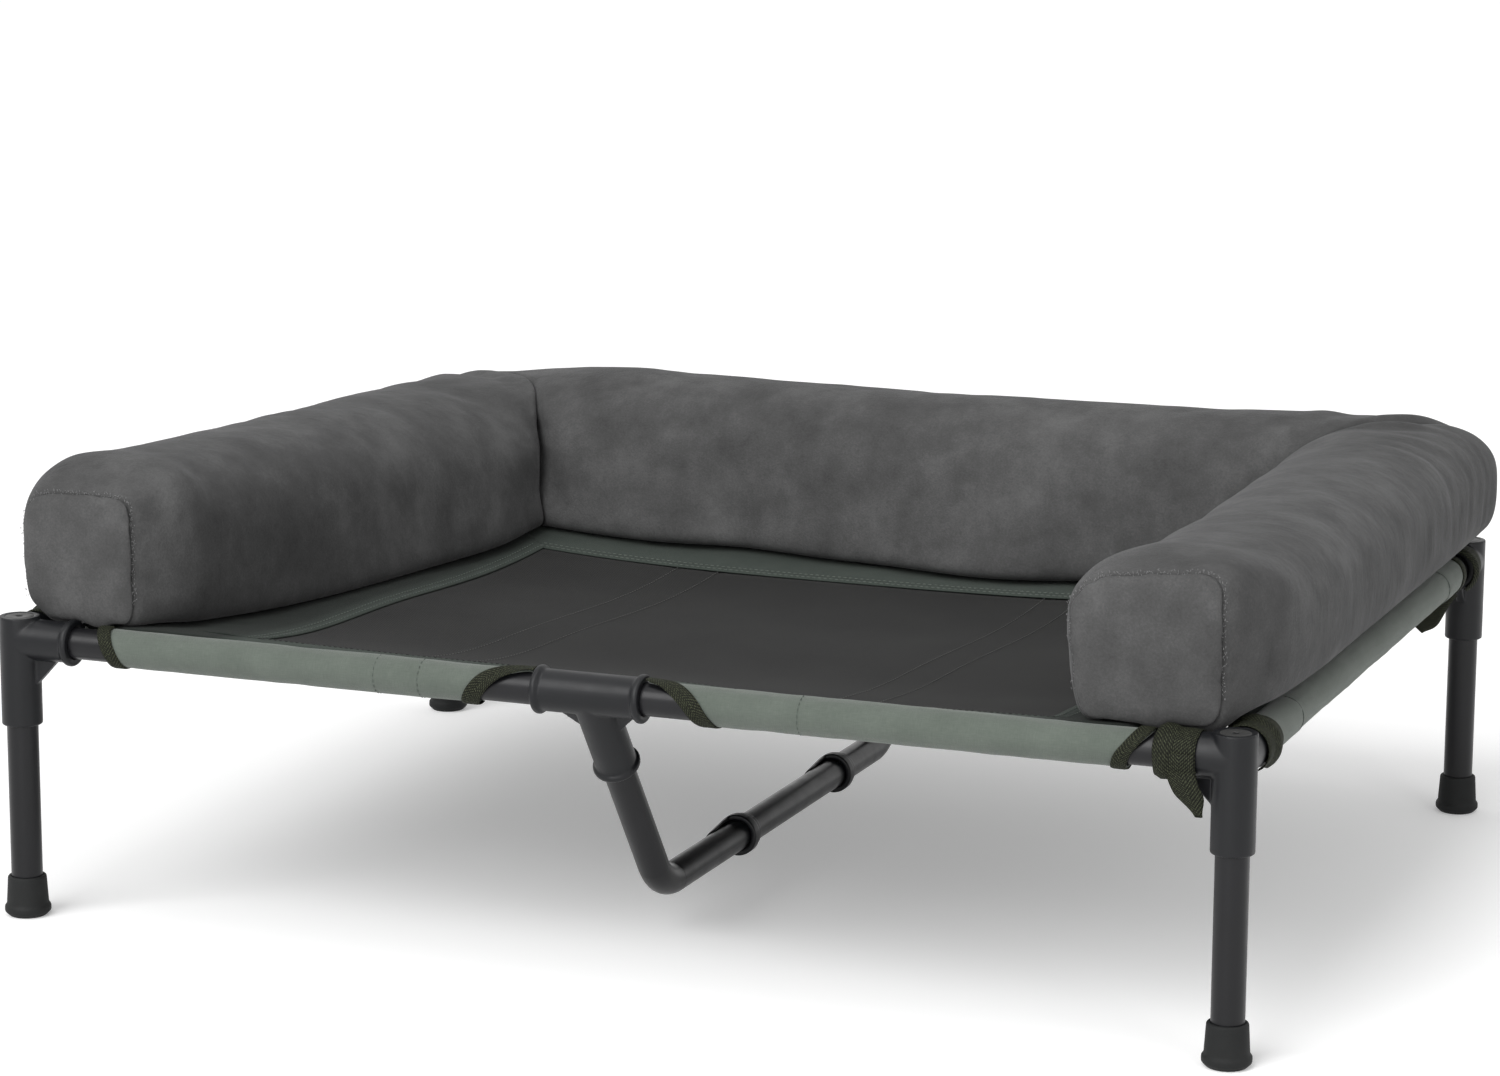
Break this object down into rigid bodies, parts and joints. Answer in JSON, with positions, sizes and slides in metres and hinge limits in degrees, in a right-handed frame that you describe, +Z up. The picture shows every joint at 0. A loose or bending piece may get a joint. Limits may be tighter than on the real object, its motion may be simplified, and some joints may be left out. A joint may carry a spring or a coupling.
{
  "type": "raised dog cot",
  "caption": "Raised dog cot: a push-together tube frame on rubber-capped legs, a canvas and mesh sling, and a lift-off stuffed bolster that leaves the front open.",
  "frame": {"origin": "on the floor, at the middle of the footprint", "axes": "+X along the length to the right as seen from the open front, +Y to the back, +Z up"},
  "size_m": [0.9227, 0.7088, 0.3211],
  "materials": {
    "frame_metal": "satin powder coat",
    "connector_plastic": "fine matt moulding",
    "foot_rubber": "matt",
    "canvas": "coated plain weave",
    "mesh": "open mesh weave",
    "webbing": "woven webbing",
    "plush": "short pile",
    "hook_loop": "hook and loop pile"
  },
  "bodies": {
    "frame": {"corner_connector_front_left": "connector_plastic", "corner_connector_front_right": "connector_plastic", "corner_connector_rear_left": "connector_plastic", "corner_connector_rear_right": "connector_plastic", "side_rail_left": "frame_metal", "side_rail_right": "frame_metal", "front_rail_left": "frame_metal", "front_rail_right": "frame_metal", "rear_rail_left": "frame_metal", "rear_rail_right": "frame_metal", "tee_connector_front": "connector_plastic", "tee_connector_rear": "connector_plastic", "brace_tube_front": "frame_metal", "brace_tube_middle": "frame_metal", "brace_tube_rear": "frame_metal", "brace_clip_front": "connector_plastic", "brace_clip_rear": "connector_plastic", "mesh_panel": "mesh", "canvas_front": "canvas", "canvas_rear": "canvas", "canvas_left": "canvas", "canvas_right": "canvas", "sleeve_front_left": "canvas", "sleeve_front_right": "canvas", "sleeve_rear_left": "canvas", "sleeve_rear_right": "canvas", "sleeve_left": "canvas", "sleeve_right": "canvas", "binding_front": "webbing", "binding_rear": "webbing", "binding_left": "webbing", "binding_right": "webbing", "support_strap_left": "webbing", "support_strap_right": "webbing", "corner_strap_front_left": "webbing", "corner_strap_front_right": "webbing", "corner_strap_rear_left": "webbing", "corner_strap_rear_right": "webbing", "hook_strip_left": "hook_loop", "hook_strip_right": "hook_loop", "hook_strip_rear": "hook_loop"},
    "leg_front_left": {"leg_tube_front_left": "frame_metal", "foot_cap_front_left": "foot_rubber"},
    "leg_front_right": {"leg_tube_front_right": "frame_metal", "foot_cap_front_right": "foot_rubber"},
    "leg_rear_left": {"leg_tube_rear_left": "frame_metal", "foot_cap_rear_left": "foot_rubber"},
    "leg_rear_right": {"leg_tube_rear_right": "frame_metal", "foot_cap_rear_right": "foot_rubber"},
    "bolster": {"loop_strip_left": "hook_loop", "loop_strip_right": "hook_loop", "loop_strip_rear": "hook_loop", "bolster_left": "plush", "bolster_right": "plush", "bolster_back": "plush", "bolster_end_left": "plush", "bolster_end_right": "plush"}
  },
  "joints": [
    {"name": "leg_front_left_slide", "type": "slide", "parent": "frame", "child": "leg_front_left", "axis": [0, 0, -1], "range_m": [0, 0.055]},
    {"name": "leg_front_right_slide", "type": "slide", "parent": "frame", "child": "leg_front_right", "axis": [0, 0, -1], "range_m": [0, 0.055]},
    {"name": "leg_rear_left_slide", "type": "slide", "parent": "frame", "child": "leg_rear_left", "axis": [0, 0, -1], "range_m": [0, 0.055]},
    {"name": "leg_rear_right_slide", "type": "slide", "parent": "frame", "child": "leg_rear_right", "axis": [0, 0, -1], "range_m": [0, 0.055]},
    {"name": "bolster_lift", "type": "slide", "parent": "frame", "child": "bolster", "axis": [0, 0, 1], "range_m": [0, 0.25]}
  ]
}
